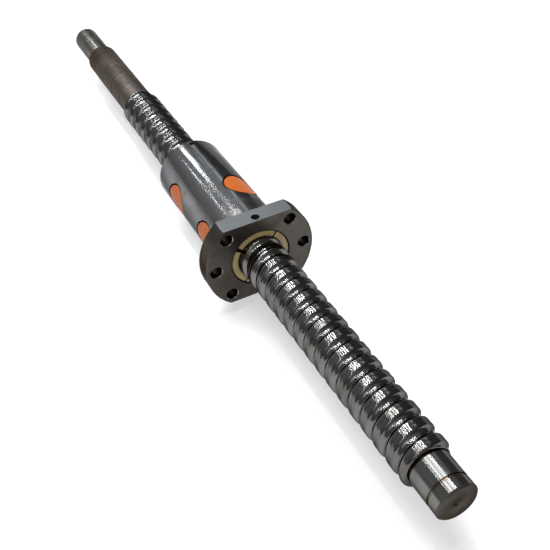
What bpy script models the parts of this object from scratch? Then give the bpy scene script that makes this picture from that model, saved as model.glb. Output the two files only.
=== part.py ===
"""Rolled ball screw, 25 mm diameter by 10 mm lead, with a flanged single nut of four ball circuits.

Frame: metres. +X runs along the screw towards the journal with the circlip groove, +Z points
through the flange flat that holds the lubrication port, and the origin is on the axis at mid-length.
Angles round the axis run from +Y towards +Z. The thread is right-handed.
The nut is modelled in its own frame, whose origin is the centre of the flange's mounting face.
"""
import math

import bmesh
import bpy
from mathutils import Matrix, Vector

MM = 0.001

# Screw shaft, from its plain far end to its near end with the circlip groove
SCREW_LENGTH = 469.9 * MM
SCREW_DIAMETER = 25.0 * MM
LEAD = 10.0 * MM
FAR_JOURNAL_LENGTH = 39.0 * MM
FAR_JOURNAL_DIAMETER = 17.0 * MM
MIDDLE_JOURNAL_LENGTH = 79.5 * MM
MIDDLE_JOURNAL_DIAMETER = 21.0 * MM
NEAR_JOURNAL_LENGTH = 19.9 * MM
NEAR_JOURNAL_DIAMETER = 20.0 * MM
JOURNAL_CHAMFER = 1.0 * MM
CIRCLIP_GROOVE_FROM_END = 6.7 * MM
CIRCLIP_GROOVE_WIDTH = 1.3 * MM
CIRCLIP_GROOVE_DIAMETER = 19.0 * MM
CENTRE_DRILL_DIAMETER = 4.4 * MM
CENTRE_DRILL_DEPTH = 3.8 * MM

# Balls and raceways
BALL_DIAMETER = 4.762 * MM
BALL_CIRCLE_DIAMETER = 26.2 * MM
BALL_CONTACT_RADIUS = 0.5 * MM
RACEWAY_CLEARANCE = 0.25 * MM
CIRCUIT_COUNT = 4
CIRCUIT_STEP_LEADS = 4.0 / 3.0
FIRST_CIRCUIT_ANGLE = math.radians(180.0)
CROSSOVER_HALF_ANGLE = math.radians(30.0)

# Nut, flange and their holes
NUT_DIAMETER = 40.0 * MM
NUT_BODY_LENGTH = 84.0 * MM
NUT_TO_NEAR_END = 182.2 * MM
NUT_BORE_CLEARANCE = 0.4 * MM
NUT_CHAMFER = 1.0 * MM
FLANGE_DIAMETER = 62.0 * MM
FLANGE_THICKNESS = 10.0 * MM
FLANGE_ACROSS_FLATS = 48.0 * MM
FLANGE_CHAMFER = 0.8 * MM
BOLT_CIRCLE_DIAMETER = 51.0 * MM
BOLT_HOLE_DIAMETER = 6.6 * MM
BOLT_HOLE_ANGLES = [math.radians(a) for a in (-45.0, 0.0, 45.0, 135.0, 180.0, 225.0)]
PORT_FROM_MOUNTING_FACE = 6.5 * MM
PORT_DIAMETER = 4.2 * MM
PORT_DEPTH = 4.0 * MM
PORT_PASSAGE_DIAMETER = 2.0 * MM
PORT_PASSAGE_WALL = 0.5 * MM

# Return inserts, which lift the balls over one land of the screw
INSERT_DIAMETER = 20.0 * MM
INSERT_FIT = 0.3 * MM
INSERT_RECESS = 0.2 * MM
INSERTS_BEHIND_MIDDLE = 1.5 * MM

# Segmented wipers, one in a pocket at each end of the nut
WIPER_POCKET_DIAMETER = 34.0 * MM
WIPER_POCKET_DEPTH = 6.0 * MM
WIPER_POCKET_GAP = 0.5 * MM
WIPER_END_GAP = 0.3 * MM
WIPER_LIP_CLEARANCE = 0.3 * MM
WIPER_SEGMENTS = 4
WIPER_SLIT = 1.0 * MM
WIPER_SLIT_ANGLE = math.radians(52.5)
SPRING_WIRE_DIAMETER = 1.2 * MM
SPRING_FIT = 0.3 * MM
SPRING_FROM_FACE = 1.9 * MM

# Set screw that holds the rear wiper
SET_SCREW_DIAMETER = 2.6 * MM
SET_SCREW_FIT = 0.3 * MM
SET_SCREW_LENGTH = 2.6 * MM
SET_SCREW_FROM_REAR = 3.9 * MM
SET_SCREW_ANGLE = math.radians(87.0)
SET_SCREW_SOCKET = 1.5 * MM
SET_SCREW_SOCKET_DEPTH = 1.2 * MM

# Facets
SCREW_STEPS = 14
NUT_STEPS = 14
TURNED_STEPS = 40
JOURNAL_STEPS = 28
GROOVE_STEPS = 4
HOLE_STEPS = 12
INSERT_STEPS = 24
CHANNEL_STEPS = 16
BALL_SIDES = 6
SPRING_STEPS = 24

BALL_CIRCLE_RADIUS = BALL_CIRCLE_DIAMETER / 2
GROOVE_RADIUS = BALL_DIAMETER / 2 + RACEWAY_CLEARANCE
NUT_BORE_RADIUS = SCREW_DIAMETER / 2 + NUT_BORE_CLEARANCE
NUT_RADIUS = NUT_DIAMETER / 2
LEAD_ANGLE = math.atan2(LEAD, math.pi * BALL_CIRCLE_DIAMETER)
FAR_END_X = -SCREW_LENGTH / 2
NEAR_END_X = SCREW_LENGTH / 2
THREAD_START_X = FAR_END_X + FAR_JOURNAL_LENGTH + MIDDLE_JOURNAL_LENGTH
THREAD_END_X = NEAR_END_X - NEAR_JOURNAL_LENGTH
NUT_X = NEAR_END_X - NUT_TO_NEAR_END
NUT_REAR_X = -NUT_BODY_LENGTH
NUT_FRONT_X = FLANGE_THICKNESS
NUT_MIDDLE_X = (NUT_REAR_X + NUT_FRONT_X) / 2
CIRCUIT_STEP = CIRCUIT_STEP_LEADS * LEAD
FIRST_INSERT_X = NUT_MIDDLE_X - INSERTS_BEHIND_MIDDLE - CIRCUIT_STEP * (CIRCUIT_COUNT - 1) / 2
CUT_MARGIN = 2.0 * MM
JOURNAL_SEAM = 0.3 * MM
ROOT_SHARE = 0.9
WELD = 0.01 * MM


def clear_scene():
    for thing in list(bpy.data.objects):
        bpy.data.objects.remove(thing, do_unlink=True)


def make_material(name, colour, roughness, metallic):
    material = bpy.data.materials.new(name)
    material.use_nodes = True
    shader = material.node_tree.nodes["Principled BSDF"]
    shader.inputs["Base Color"].default_value = (*colour, 1.0)
    shader.inputs["Roughness"].default_value = roughness
    shader.inputs["Metallic"].default_value = metallic
    material.diffuse_color = (*colour, 1.0)
    return material


def add_object(name, bm, material=None, parent=None):
    """Turn a bmesh into a named object, with smooth round faces and sharp edges."""
    bmesh.ops.recalc_face_normals(bm, faces=bm.faces)
    mesh = bpy.data.meshes.new(name)
    bm.to_mesh(mesh)
    bm.free()
    mesh.shade_smooth()
    mesh.set_sharp_from_angle(angle=math.radians(35.0))
    thing = bpy.data.objects.new(name, mesh)
    bpy.context.scene.collection.objects.link(thing)
    thing.parent = parent
    if material:
        mesh.materials.append(material)
    return thing


def add_tool(name, bm, parent=None):
    """A solid that only cuts or joins another one."""
    tool = add_object(name, bm, parent=parent)
    tool.hide_render = True
    tool.display_type = "WIRE"
    return tool


def add_boolean(thing, tool, operation):
    modifier = thing.modifiers.new(f"{operation.lower()} {tool.name}", "BOOLEAN")
    modifier.operation = operation
    modifier.solver = "EXACT"
    modifier.object = tool


def ring_point(x, radius, angle):
    return Vector((x, radius * math.cos(angle), radius * math.sin(angle)))


def turn(bm, profile, steps):
    """Spin an (x, radius) outline that starts and ends on the axis into a closed solid."""
    verts = [bm.verts.new((x, radius, 0.0)) for x, radius in profile]
    edges = [bm.edges.new(pair) for pair in zip(verts, verts[1:])]
    bmesh.ops.spin(
        bm, geom=verts + edges, cent=(0, 0, 0), axis=(1, 0, 0), angle=math.tau, steps=steps, use_merge=True
    )
    bmesh.ops.remove_doubles(bm, verts=bm.verts, dist=WELD)


def turned_solid(profile, steps):
    bm = bmesh.new()
    turn(bm, profile, steps)
    return bm


def plug(start, end, radius, steps):
    """A round plug from one point to another."""
    bm = bmesh.new()
    along = end - start
    place = Matrix.Translation((start + end) / 2) @ along.to_track_quat("Z", "Y").to_matrix().to_4x4()
    bmesh.ops.create_cone(
        bm, cap_ends=True, segments=steps, radius1=radius, radius2=radius, depth=along.length, matrix=place
    )
    return bm


def merged(meshes):
    """Put separate solids into one bmesh."""
    whole = bmesh.new()
    for bm in meshes:
        mesh = bpy.data.meshes.new("piece")
        bm.to_mesh(mesh)
        bm.free()
        whole.from_mesh(mesh)
        bpy.data.meshes.remove(mesh)
    return whole


def thread_profile(land_radius, groove_radius, side):
    """One lead of thread as (x from the land's middle, radius).

    side -1 sinks the ball groove below the land, and side +1 raises it, for the tool that cuts a nut.
    """
    edge = math.asin(side * (land_radius - BALL_CIRCLE_RADIUS) / groove_radius)
    points = []
    for i in range(GROOVE_STEPS + 1):
        a = edge + (math.pi - 2 * edge) * i / GROOVE_STEPS
        x = LEAD / 2 - groove_radius * math.cos(a) / math.cos(LEAD_ANGLE)
        points.append((x, BALL_CIRCLE_RADIUS + side * groove_radius * math.sin(a)))
    land_end = (points[0][0] + LEAD, land_radius)
    return points + [land_end]


def threaded_rod(profile, land_x, start_x, end_x, steps):
    """A closed threaded rod, one of whose lands has its middle at land_x where the angle is half a turn."""
    first = land_x - LEAD * (math.ceil((land_x - start_x) / LEAD) + 2)
    turns = math.ceil((end_x - first) / LEAD) + 1
    bm = bmesh.new()
    verts = [bm.verts.new(ring_point(first + x, radius, math.pi)) for x, radius in profile]
    edges = [bm.edges.new(pair) for pair in zip(verts, verts[1:])]
    bmesh.ops.spin(
        bm,
        geom=verts + edges,
        cent=(0, 0, 0),
        axis=(1, 0, 0),
        dvec=(LEAD / steps, 0, 0),
        angle=math.tau * turns,
        steps=steps * turns,
    )
    bmesh.ops.remove_doubles(bm, verts=bm.verts, dist=WELD)
    for x, side in ((start_x, -1), (end_x, 1)):
        bmesh.ops.bisect_plane(
            bm, geom=bm.verts[:] + bm.edges[:] + bm.faces[:], dist=WELD / 10,
            plane_co=(x, 0, 0), plane_no=(side, 0, 0), clear_outer=True
        )
        rim = [edge for edge in bm.edges if edge.is_boundary and all(abs(v.co.x - x) < WELD for v in edge.verts)]
        bmesh.ops.contextual_create(bm, geom=rim)
    return bm


def round_a_bore(profile, steps):
    """Move a cutter's corners out, so that its flats clear what the bore goes round."""
    return [(x, radius / math.cos(math.pi / steps)) for x, radius in profile]


def build_screw(material):
    land_x = NUT_X + FIRST_INSERT_X
    profile = thread_profile(SCREW_DIAMETER / 2, GROOVE_RADIUS, -1)
    rod = threaded_rod(profile, land_x, THREAD_START_X, THREAD_END_X, SCREW_STEPS)
    screw = add_object("screw_shaft", rod, material)

    far = FAR_JOURNAL_DIAMETER / 2
    middle = MIDDLE_JOURNAL_DIAMETER / 2
    shoulder_x = FAR_END_X + FAR_JOURNAL_LENGTH
    seam = JOURNAL_SEAM
    overlap = LEAD / 2
    root = ROOT_SHARE * (BALL_CIRCLE_RADIUS - GROOVE_RADIUS)
    far_side = turned_solid(
        [
            (FAR_END_X + CENTRE_DRILL_DEPTH, 0),
            (FAR_END_X, CENTRE_DRILL_DIAMETER / 2),
            (FAR_END_X, far - JOURNAL_CHAMFER),
            (FAR_END_X + JOURNAL_CHAMFER, far),
            (shoulder_x, far),
            (shoulder_x, middle - JOURNAL_CHAMFER / 2),
            (shoulder_x + JOURNAL_CHAMFER / 2, middle),
            (THREAD_START_X + seam, middle),
            (THREAD_START_X + seam, root),
            (THREAD_START_X + overlap, root),
            (THREAD_START_X + overlap, 0),
        ],
        JOURNAL_STEPS,
    )
    near = NEAR_JOURNAL_DIAMETER / 2
    groove_x = NEAR_END_X - CIRCLIP_GROOVE_FROM_END
    groove = CIRCLIP_GROOVE_DIAMETER / 2
    near_side = turned_solid(
        [
            (THREAD_END_X - overlap, 0),
            (THREAD_END_X - overlap, root),
            (THREAD_END_X - seam, root),
            (THREAD_END_X - seam, near),
            (groove_x - CIRCLIP_GROOVE_WIDTH / 2, near),
            (groove_x - CIRCLIP_GROOVE_WIDTH / 2, groove),
            (groove_x + CIRCLIP_GROOVE_WIDTH / 2, groove),
            (groove_x + CIRCLIP_GROOVE_WIDTH / 2, near),
            (NEAR_END_X - JOURNAL_CHAMFER, near),
            (NEAR_END_X, near - JOURNAL_CHAMFER),
            (NEAR_END_X, CENTRE_DRILL_DIAMETER / 2),
            (NEAR_END_X - CENTRE_DRILL_DEPTH, 0),
        ],
        JOURNAL_STEPS,
    )
    for name, side in (("far_journals_tool", far_side), ("near_journal_tool", near_side)):
        add_boolean(screw, add_tool(name, side), "UNION")


def insert_place(index):
    """The x and angle at which a circuit crosses a land."""
    return (
        FIRST_INSERT_X + CIRCUIT_STEP * index,
        FIRST_CIRCUIT_ANGLE + math.tau * CIRCUIT_STEP_LEADS * index,
    )


def lift_over_land(offset):
    """Radius of a ball's centre that is this far to the side of its groove's middle."""
    land = SCREW_DIAMETER / 2
    half_groove = math.sqrt(GROOVE_RADIUS**2 - (BALL_CIRCLE_RADIUS - land) ** 2)
    if offset >= half_groove:
        return land + GROOVE_RADIUS
    over_edge = math.sqrt(max(GROOVE_RADIUS**2 - (half_groove - offset) ** 2, 0.0))
    return max(BALL_CIRCLE_RADIUS, land + over_edge)


def circuit_point(index, turned):
    """A ball's centre, turned this far from the middle of its insert: once round, then over the land."""
    middle_x, middle_angle = insert_place(index)
    rise = LEAD / math.tau
    across = CROSSOVER_HALF_ANGLE
    if across <= turned <= math.tau - across:
        x = middle_x - LEAD / 2 + rise * turned
        return ring_point(x, BALL_CIRCLE_RADIUS, middle_angle + turned)
    b = turned if turned < across else turned - math.tau
    if abs(b) >= across:
        x = middle_x + rise * b - math.copysign(LEAD / 2, b)
        return ring_point(x, BALL_CIRCLE_RADIUS, middle_angle + b)
    t = (b + across) / (2 * across)
    ease = t * t * (3 - 2 * t)
    half_step = LEAD / 2 - rise * across
    x = middle_x + half_step * (1 - 2 * ease)
    groove_x = middle_x + rise * b + math.copysign(LEAD / 2, x - middle_x)
    offset = abs(x - groove_x) * math.cos(LEAD_ANGLE)
    return ring_point(x, lift_over_land(offset), middle_angle + b)


def ball_centres(index):
    """As many touching balls as the circuit holds, in a row that starts opposite the insert."""
    samples = 720
    path = [circuit_point(index, (math.pi + math.tau * i / samples) % math.tau) for i in range(samples + 1)]
    lengths = [0.0]
    for a, b in zip(path, path[1:]):
        lengths.append(lengths[-1] + (b - a).length)
    pitch = 2 * math.sqrt((BALL_DIAMETER / 2) ** 2 - BALL_CONTACT_RADIUS**2)
    count = int(lengths[-1] / BALL_DIAMETER)
    return [path[min(range(samples), key=lambda k: abs(lengths[k] - pitch * i))] for i in range(count)]


def add_ring(bm, centre, along, radius):
    """A ring of vertices square to the row of balls, started from the side away from the axis."""
    out = Vector((0, centre.y, centre.z))
    side = along.cross(out).normalized()
    out = side.cross(along).normalized()
    turns = [math.tau * k / BALL_SIDES for k in range(BALL_SIDES)]
    return [bm.verts.new(centre + radius * (math.cos(a) * out + math.sin(a) * side)) for a in turns]


def build_ball_circuit(index, material, parent):
    """The balls touch in a row, and a small flat at each contact makes the row one body."""
    centres = ball_centres(index)
    radius = BALL_DIAMETER / 2
    contact = math.asin(BALL_CONTACT_RADIUS / radius)
    bm = bmesh.new()
    rings = []
    for i, centre in enumerate(centres):
        before = centres[max(i - 1, 0)]
        after = centres[min(i + 1, len(centres) - 1)]
        along = (after - before).normalized()
        for polar in (contact, math.radians(45), math.radians(90), math.radians(135)):
            if polar == contact and 0 < i:
                step = (centre - before).normalized()
                rings.append(add_ring(bm, (before + centre) / 2, step, BALL_CONTACT_RADIUS))
            else:
                middle = centre - along * radius * math.cos(polar)
                rings.append(add_ring(bm, middle, along, radius * math.sin(polar)))
        last = centre + along * radius * math.cos(contact)
    rings.append(add_ring(bm, last, along, BALL_CONTACT_RADIUS))
    for ring, following in zip(rings, rings[1:]):
        for k in range(BALL_SIDES):
            n = (k + 1) % BALL_SIDES
            bm.faces.new((ring[k], ring[n], following[n], following[k]))
    bm.faces.new(rings[0])
    bm.faces.new(rings[-1])
    add_object(f"ball_circuit_{index + 1}", bm, material, parent)


def channel_tube(index, parent):
    """The S-shaped ball channel as a tube that runs out past both sides of its insert."""
    reach = math.radians(62.0)
    curve = bpy.data.curves.new("channel", "CURVE")
    curve.dimensions = "3D"
    curve.bevel_depth = GROOVE_RADIUS / math.cos(math.pi / 10)
    curve.bevel_resolution = 3
    curve.use_fill_caps = True
    spline = curve.splines.new("POLY")
    spline.points.add(CHANNEL_STEPS)
    middle_x, middle_angle = insert_place(index)
    for i, point in enumerate(spline.points):
        b = reach * (2 * i / CHANNEL_STEPS - 1)
        if abs(b) < CROSSOVER_HALF_ANGLE:
            place = circuit_point(index, b % math.tau)
        else:
            x = middle_x + LEAD / math.tau * b - math.copysign(LEAD / 2, b)
            place = ring_point(x, BALL_CIRCLE_RADIUS, middle_angle + b)
        point.co = (*place, 1.0)
    source = bpy.data.objects.new("channel", curve)
    bpy.context.scene.collection.objects.link(source)
    bm = bmesh.new()
    mesh = bpy.data.meshes.new_from_object(source)
    bm.from_mesh(mesh)
    bpy.data.meshes.remove(mesh)
    bpy.data.objects.remove(source, do_unlink=True)
    bmesh.ops.remove_doubles(bm, verts=bm.verts, dist=WELD)
    return add_tool(f"channel_tool_{index + 1}", bm, parent)


def radial_plug(index, radius, inner, outer):
    x, angle = insert_place(index)
    return plug(ring_point(x, inner, angle), ring_point(x, outer, angle), radius, INSERT_STEPS)


def build_return_insert(index, material, parent, outside, inside):
    """A round plug, flush with the nut outside, with the crossover channel in its inner face."""
    body = radial_plug(index, INSERT_DIAMETER / 2, NUT_BORE_RADIUS / 2, NUT_RADIUS + CUT_MARGIN)
    insert = add_object(f"return_insert_{index + 1}", body, material, parent)
    add_boolean(insert, outside, "INTERSECT")
    add_boolean(insert, inside, "DIFFERENCE")
    add_boolean(insert, channel_tube(index, parent), "DIFFERENCE")


def barrel(radius):
    """A plain round bar as long as the nut and a little more."""
    return turned_solid(
        [
            (NUT_REAR_X - CUT_MARGIN, 0),
            (NUT_REAR_X - CUT_MARGIN, radius),
            (NUT_FRONT_X + CUT_MARGIN, radius),
            (NUT_FRONT_X + CUT_MARGIN, 0),
        ],
        TURNED_STEPS,
    )


def flats_tool():
    """Two blocks that leave the flange's flats, top and bottom."""
    blocks = []
    size = FLANGE_DIAMETER
    for side in (-1, 1):
        bm = bmesh.new()
        place = Matrix.Translation((FLANGE_THICKNESS / 2, 0, side * (FLANGE_ACROSS_FLATS + size) / 2))
        bmesh.ops.create_cube(bm, size=size, matrix=place)
        blocks.append(bm)
    return merged(blocks)


def passage_slope(port_floor):
    """The angle from straight down at which the port's passage clears the wiper pocket's inner edge."""
    along = port_floor.x - (NUT_FRONT_X - WIPER_POCKET_DEPTH)
    down = port_floor.z - WIPER_POCKET_DIAMETER / 2
    room = PORT_PASSAGE_DIAMETER / 2 + PORT_PASSAGE_WALL
    return math.atan2(along, down) + math.asin(room / math.hypot(along, down))


def build_nut(material, parent):
    body = NUT_RADIUS
    flange = FLANGE_DIAMETER / 2
    blank = turned_solid(
        [
            (NUT_REAR_X, 0),
            (NUT_REAR_X, body - NUT_CHAMFER),
            (NUT_REAR_X + NUT_CHAMFER, body),
            (0, body),
            (0, flange - FLANGE_CHAMFER),
            (FLANGE_CHAMFER, flange),
            (FLANGE_THICKNESS - FLANGE_CHAMFER, flange),
            (FLANGE_THICKNESS, flange - FLANGE_CHAMFER),
            (FLANGE_THICKNESS, 0),
        ],
        TURNED_STEPS,
    )
    nut = add_object("nut_body", blank, material, parent)

    pocket = WIPER_POCKET_DIAMETER / 2
    pockets = [
        turned_solid([(a, 0), (a, pocket), (b, pocket), (b, 0)], TURNED_STEPS)
        for a, b in (
            (NUT_REAR_X - CUT_MARGIN, NUT_REAR_X + WIPER_POCKET_DEPTH),
            (NUT_FRONT_X - WIPER_POCKET_DEPTH, NUT_FRONT_X + CUT_MARGIN),
        )
    ]
    hole_circle = BOLT_CIRCLE_DIAMETER / 2
    bolt_holes = [
        plug(
            ring_point(-CUT_MARGIN, hole_circle, angle),
            ring_point(FLANGE_THICKNESS + CUT_MARGIN, hole_circle, angle),
            BOLT_HOLE_DIAMETER / 2,
            HOLE_STEPS,
        )
        for angle in BOLT_HOLE_ANGLES
    ]
    insert_holes = [
        radial_plug(i, INSERT_DIAMETER / 2 + INSERT_FIT, NUT_BORE_RADIUS / 2, NUT_RADIUS + CUT_MARGIN)
        for i in range(CIRCUIT_COUNT)
    ]
    port_top = FLANGE_ACROSS_FLATS / 2
    port_floor = Vector((PORT_FROM_MOUNTING_FACE, 0, port_top - PORT_DEPTH))
    port_mouth = Vector((PORT_FROM_MOUNTING_FACE, 0, port_top + CUT_MARGIN))
    port = plug(port_mouth, port_floor, PORT_DIAMETER / 2, HOLE_STEPS)
    slope = passage_slope(port_floor)
    inward = Vector((-math.sin(slope), 0, -math.cos(slope)))
    drop = (port_floor.z - NUT_BORE_RADIUS) / math.cos(slope)
    passage = plug(
        port_floor - inward * CUT_MARGIN / 2,
        port_floor + inward * (drop + CUT_MARGIN),
        PORT_PASSAGE_DIAMETER / 2,
        8,
    )
    screw_x = NUT_REAR_X + SET_SCREW_FROM_REAR
    screw_hole = plug(
        ring_point(screw_x, pocket - CUT_MARGIN, SET_SCREW_ANGLE),
        ring_point(screw_x, NUT_RADIUS + CUT_MARGIN, SET_SCREW_ANGLE),
        SET_SCREW_DIAMETER / 2 + SET_SCREW_FIT,
        12,
    )
    bore_profile = round_a_bore(thread_profile(NUT_BORE_RADIUS, GROOVE_RADIUS, 1), NUT_STEPS)
    bore = threaded_rod(
        bore_profile, FIRST_INSERT_X, NUT_REAR_X - CUT_MARGIN, NUT_FRONT_X + CUT_MARGIN, NUT_STEPS
    )
    cuts = (
        ("flats_tool", flats_tool()),
        ("bolt_holes_tool", merged(bolt_holes)),
        ("port_tool", port),
        ("insert_holes_tool", merged(insert_holes)),
        ("threaded_bore_tool", bore),
        ("set_screw_hole_tool", screw_hole),
        ("port_passage_tool", passage),
        ("wiper_pockets_tool", merged(pockets)),
    )
    for name, cut in cuts:
        add_boolean(nut, add_tool(name, cut, parent), "DIFFERENCE")


def wiper_outline(face_x, inward):
    """Section of a wiper ring with its spring groove, from the pocket's open side inwards."""
    outer = WIPER_POCKET_DIAMETER / 2 - WIPER_POCKET_GAP
    inner = BALL_CIRCLE_RADIUS - GROOVE_RADIUS - WIPER_LIP_CLEARANCE
    groove_floor = outer - SPRING_WIRE_DIAMETER - 1.5 * SPRING_FIT
    groove_half = SPRING_WIRE_DIAMETER / 2 + SPRING_FIT
    depths = [
        (WIPER_END_GAP, inner),
        (WIPER_END_GAP, outer),
        (SPRING_FROM_FACE - groove_half, outer),
        (SPRING_FROM_FACE - groove_half, groove_floor),
        (SPRING_FROM_FACE + groove_half, groove_floor),
        (SPRING_FROM_FACE + groove_half, outer),
        (WIPER_POCKET_DEPTH - WIPER_END_GAP, outer),
        (WIPER_POCKET_DEPTH - WIPER_END_GAP, inner),
    ]
    return [(face_x + inward * depth, radius) for depth, radius in depths]


def build_wiper(end_name, face_x, inward, materials, nut, springs):
    """Four lipped segments round the screw, drawn together by a garter spring."""
    outline = wiper_outline(face_x, inward)
    lip_profile = thread_profile(
        SCREW_DIAMETER / 2 + WIPER_LIP_CLEARANCE, GROOVE_RADIUS - WIPER_LIP_CLEARANCE, -1
    )
    middle_x = face_x + inward * WIPER_POCKET_DEPTH / 2
    lip_tool = add_tool(
        f"{end_name}_wiper_lip_tool",
        threaded_rod(
            round_a_bore(lip_profile, NUT_STEPS),
            FIRST_INSERT_X,
            middle_x - WIPER_POCKET_DEPTH,
            middle_x + WIPER_POCKET_DEPTH,
            NUT_STEPS,
        ),
        nut,
    )
    slit = WIPER_SLIT / (WIPER_POCKET_DIAMETER / 2)
    pitch = math.tau / WIPER_SEGMENTS
    for i in range(WIPER_SEGMENTS):
        start = WIPER_SLIT_ANGLE + pitch * i + slit / 2
        bm = bmesh.new()
        verts = [bm.verts.new(ring_point(x, radius, start)) for x, radius in outline]
        face = bm.faces.new(verts)
        bmesh.ops.spin(
            bm,
            geom=[face] + face.edges[:] + verts,
            cent=(0, 0, 0),
            axis=(1, 0, 0),
            angle=pitch - slit,
            steps=5,
        )
        segment = add_object(f"{end_name}_wiper_segment_{i + 1}", bm, materials["wiper"], nut)
        add_boolean(segment, lip_tool, "DIFFERENCE")

    wire = SPRING_WIRE_DIAMETER / 2
    ring_radius = WIPER_POCKET_DIAMETER / 2 - WIPER_POCKET_GAP - SPRING_FIT / 2 - wire
    ring_x = face_x + inward * SPRING_FROM_FACE
    bm = bmesh.new()
    section = bmesh.ops.create_circle(
        bm, segments=5, radius=wire, matrix=Matrix.Translation((ring_x, ring_radius, 0))
    )
    bmesh.ops.spin(
        bm,
        geom=section["verts"] + bm.edges[:],
        cent=(0, 0, 0),
        axis=(1, 0, 0),
        angle=math.tau,
        steps=SPRING_STEPS,
        use_merge=True,
    )
    add_object(f"{end_name}_wiper_spring", bm, materials["spring"], springs)


def build_set_screw(material, parent):
    """A short socket set screw in the nut's wall, with its point just over the rear wiper."""
    x = NUT_REAR_X + SET_SCREW_FROM_REAR
    tip = WIPER_POCKET_DIAMETER / 2 - WIPER_POCKET_GAP + SET_SCREW_FIT
    top = tip + SET_SCREW_LENGTH
    bm = plug(
        ring_point(x, tip, SET_SCREW_ANGLE), ring_point(x, top, SET_SCREW_ANGLE), SET_SCREW_DIAMETER / 2, 12
    )
    screw = add_object("rear_wiper_set_screw", bm, material, parent)
    socket = plug(
        ring_point(x, top - SET_SCREW_SOCKET_DEPTH, SET_SCREW_ANGLE),
        ring_point(x, top + CUT_MARGIN, SET_SCREW_ANGLE),
        SET_SCREW_SOCKET / 2,
        6,
    )
    add_boolean(screw, add_tool("set_screw_socket_tool", socket, parent), "DIFFERENCE")


def add_carrier(name, parent=None):
    """An empty on the screw's axis that carries the pieces of one moving body."""
    carrier = bpy.data.objects.new(name, None)
    bpy.context.scene.collection.objects.link(carrier)
    carrier.parent = parent
    return carrier


def build_ball_screw():
    clear_scene()
    materials = {
        "screw": make_material("rolled_steel", (0.42, 0.40, 0.38), 0.28, 1.0),
        "nut": make_material("ground_steel", (0.46, 0.46, 0.47), 0.30, 1.0),
        "insert": make_material("orange_plastic", (0.75, 0.16, 0.03), 0.45, 0.0),
        "wiper": make_material("tan_plastic", (0.52, 0.38, 0.25), 0.60, 0.0),
        "ball": make_material("ball_steel", (0.62, 0.62, 0.62), 0.12, 1.0),
        "spring": make_material("spring_steel", (0.45, 0.45, 0.45), 0.35, 1.0),
        "set_screw": make_material("black_oxide", (0.03, 0.03, 0.03), 0.50, 1.0),
    }
    springs = add_carrier("wiper_springs_carrier")
    springs.location.x = NUT_X
    nut = add_carrier("nut_carrier", springs)

    build_screw(materials["screw"])
    build_nut(materials["nut"], nut)
    outside = add_tool("insert_outside_tool", barrel(NUT_RADIUS - INSERT_RECESS), nut)
    inside = add_tool("insert_inside_tool", barrel(NUT_BORE_RADIUS), nut)
    for i in range(CIRCUIT_COUNT):
        build_return_insert(i, materials["insert"], nut, outside, inside)
        build_ball_circuit(i, materials["ball"], nut)
    build_wiper("front", NUT_FRONT_X, -1, materials, nut, springs)
    build_wiper("rear", NUT_REAR_X, 1, materials, nut, springs)
    build_set_screw(materials["set_screw"], nut)


build_ball_screw()
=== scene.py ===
"""The looks of the ball screw: polished rolled thread, ground nut, orange inserts, tan wipers.

Everything is in metres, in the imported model's frame: +X along the screw towards the circlip
groove, +Z through the flange flat with the lubrication port. Angles run from +Y towards +Z.
"""
import math

import bmesh
import bpy
from mathutils import Matrix, Vector


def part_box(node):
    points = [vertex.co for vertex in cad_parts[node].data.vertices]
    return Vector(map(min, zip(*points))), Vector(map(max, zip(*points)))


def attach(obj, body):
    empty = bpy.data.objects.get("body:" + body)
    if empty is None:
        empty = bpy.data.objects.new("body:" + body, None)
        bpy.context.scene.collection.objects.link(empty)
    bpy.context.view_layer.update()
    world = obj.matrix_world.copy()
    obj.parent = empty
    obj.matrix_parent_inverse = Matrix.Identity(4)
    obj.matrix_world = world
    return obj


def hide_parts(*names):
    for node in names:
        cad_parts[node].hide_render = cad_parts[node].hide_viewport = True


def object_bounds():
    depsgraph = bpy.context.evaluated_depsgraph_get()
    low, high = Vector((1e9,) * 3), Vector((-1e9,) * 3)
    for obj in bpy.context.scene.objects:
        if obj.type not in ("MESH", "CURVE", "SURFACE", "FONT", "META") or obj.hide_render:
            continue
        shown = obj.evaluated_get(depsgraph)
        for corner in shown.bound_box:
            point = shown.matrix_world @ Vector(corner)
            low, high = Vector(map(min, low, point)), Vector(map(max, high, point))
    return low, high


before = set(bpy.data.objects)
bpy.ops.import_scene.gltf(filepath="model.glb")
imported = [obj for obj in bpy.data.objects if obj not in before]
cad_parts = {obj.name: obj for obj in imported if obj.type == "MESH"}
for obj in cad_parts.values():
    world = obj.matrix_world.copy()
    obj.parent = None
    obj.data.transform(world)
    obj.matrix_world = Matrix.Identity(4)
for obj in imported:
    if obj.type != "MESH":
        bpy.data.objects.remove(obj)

CAD_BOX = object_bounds()
MM = 0.001

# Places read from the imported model
SCREW_LOW, SCREW_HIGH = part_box("screw_shaft")
NUT_LOW, NUT_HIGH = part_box("nut_body")
FAR_END, NEAR_END = SCREW_LOW.x, SCREW_HIGH.x
NUT_REAR, NUT_FRONT = NUT_LOW.x, NUT_HIGH.x

# Thread and journals
LEAD = 10 * MM
SCREW_RADIUS = 12.5 * MM
FAR_RADIUS = 8.5 * MM
MIDDLE_RADIUS = 10.5 * MM
JOURNAL_RADIUS = 10 * MM
FAR_SHOULDER = FAR_END + 39 * MM
THREAD_START = FAR_END + 118.5 * MM
THREAD_END = NEAR_END - 19.9 * MM
CIRCLIP_GROOVE = NEAR_END - 6.7 * MM
CIRCLIP_WIDTH = 1.3 * MM
CIRCLIP_DEPTH = 0.5 * MM
UNDERCUT_WIDTH = 0.5 * MM
UNDERCUT_DEPTH = 0.35 * MM
CHAMFER = 0.8 * MM
CENTRE_DRILL_RADIUS = 2.2 * MM
CENTRE_PILOT_RADIUS = 0.9 * MM

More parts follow.
